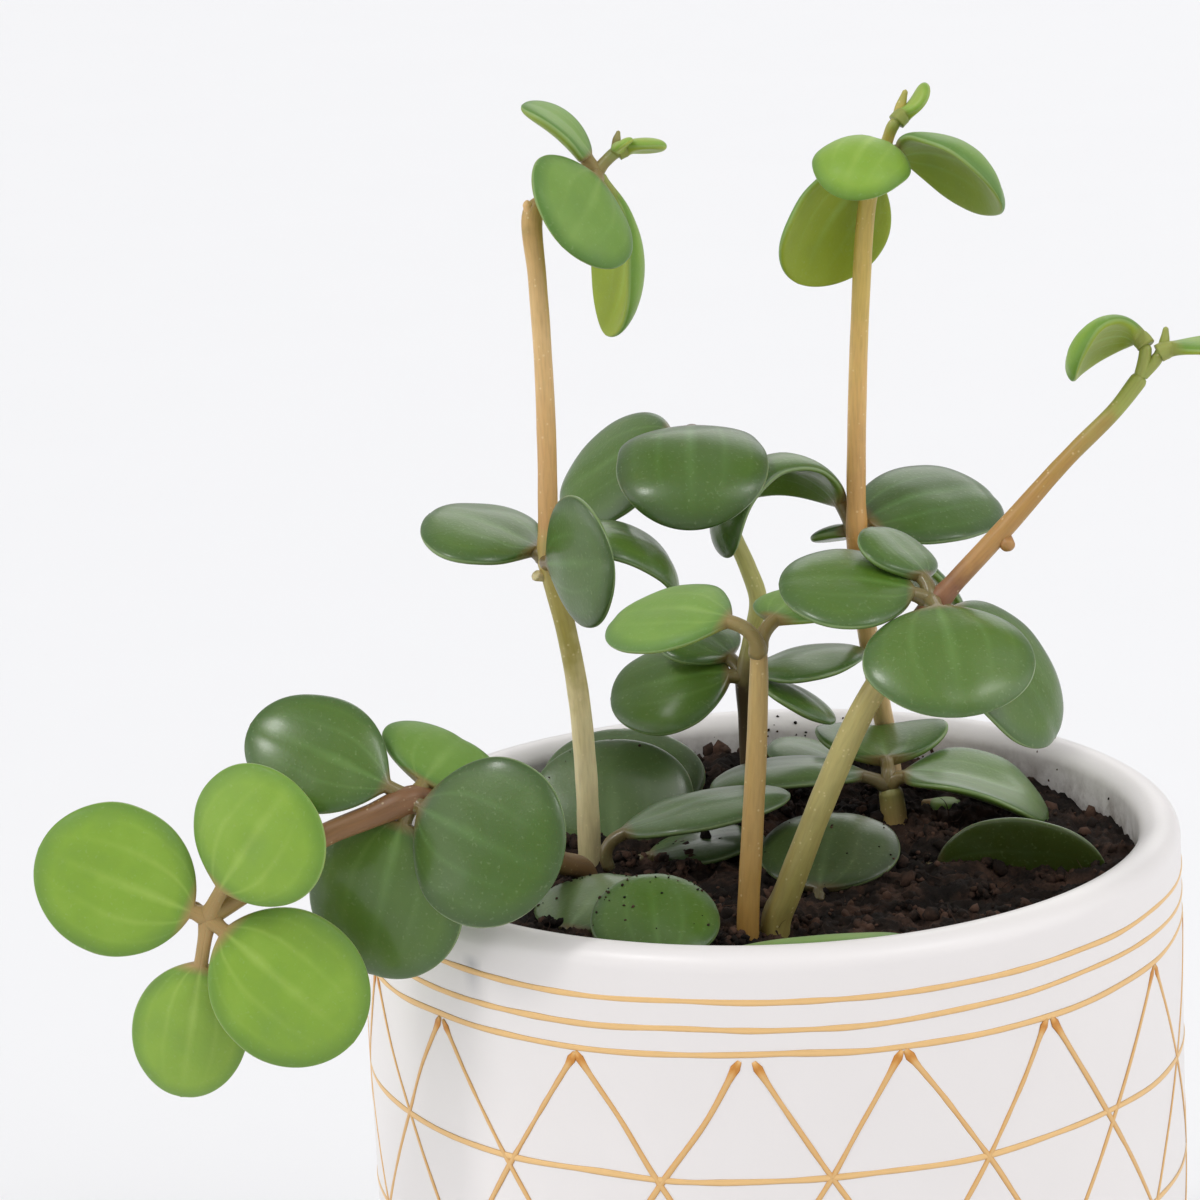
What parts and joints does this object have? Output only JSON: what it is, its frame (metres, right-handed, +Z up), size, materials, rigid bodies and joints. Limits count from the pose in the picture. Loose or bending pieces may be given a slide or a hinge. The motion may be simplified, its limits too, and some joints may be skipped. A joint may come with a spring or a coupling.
{
  "type": "potted peperomia",
  "caption": "Potted peperomia with slender stems and thick round leaves, in soil in a round white glazed pot with gold lines.",
  "frame": {"origin": "centre of the flat base of the pot", "axes": "+Z up, -Y to the front, +X to the right seen from the front"},
  "size_m": [0.1846, 0.125, 0.2191],
  "materials": {
    "glaze": "smooth white glazed earthenware with hand-painted gold lines",
    "soil": "moist crumbly potting soil",
    "stem": "dry tan stem with faint speckles, paler and greener where young",
    "old_leaf": "thick waxy dark green leaf with faint lighter veins",
    "young_leaf": "thick waxy bright green leaf with lighter veins"
  },
  "bodies": {
    "root": {"pot": "glaze", "soil": "soil", "stem_left": "stem", "stem_tall": "stem", "stem_right": "stem", "stem_front": "stem", "stem_middle": "stem", "stem_short": "stem", "stem_trailing": "stem", "leaf_left_tip_top": "young_leaf", "leaf_left_tip_front": "young_leaf", "leaf_left_tip_lower": "young_leaf", "leaf_left_mid_left": "old_leaf", "leaf_left_mid_front": "old_leaf", "leaf_left_mid_right": "old_leaf", "leaf_tall_tip_front": "young_leaf", "leaf_tall_tip_right": "young_leaf", "leaf_tall_tip_left": "young_leaf", "leaf_tall_mid_curved": "old_leaf", "leaf_tall_mid_right": "old_leaf", "leaf_tall_mid_lower": "old_leaf", "leaf_tall_mid_back": "old_leaf", "leaf_right_mid_left": "old_leaf", "leaf_right_mid_back": "old_leaf", "leaf_right_mid_front": "old_leaf", "leaf_right_mid_right": "old_leaf", "leaf_right_tip_left": "young_leaf", "leaf_right_tip_right": "young_leaf", "leaf_front_tip_left": "young_leaf", "leaf_front_tip_right": "young_leaf", "leaf_middle_tip_front": "old_leaf", "leaf_middle_tip_left": "old_leaf", "leaf_middle_mid_left": "old_leaf", "leaf_middle_mid_back": "old_leaf", "leaf_middle_mid_right": "old_leaf", "leaf_middle_mid_lower": "old_leaf", "leaf_trailing_mid_back": "old_leaf", "leaf_trailing_mid_light": "young_leaf", "leaf_trailing_mid_front": "young_leaf", "leaf_trailing_mid_lower": "old_leaf", "leaf_trailing_tip_left": "young_leaf", "leaf_trailing_tip_top": "young_leaf", "leaf_trailing_tip_low": "young_leaf", "leaf_trailing_tip_bottom": "young_leaf", "leaf_soil_back_left": "old_leaf", "leaf_soil_behind": "old_leaf", "leaf_soil_long": "old_leaf", "leaf_soil_under": "old_leaf", "leaf_soil_flat_left": "old_leaf", "leaf_soil_front": "young_leaf", "leaf_soil_rim": "young_leaf", "leaf_soil_dark": "old_leaf", "leaf_soil_upright": "old_leaf", "leaf_short_left": "old_leaf", "leaf_short_top": "old_leaf", "leaf_short_behind": "old_leaf", "leaf_short_right": "old_leaf", "leaf_short_small": "young_leaf"}
  },
  "joints": []
}
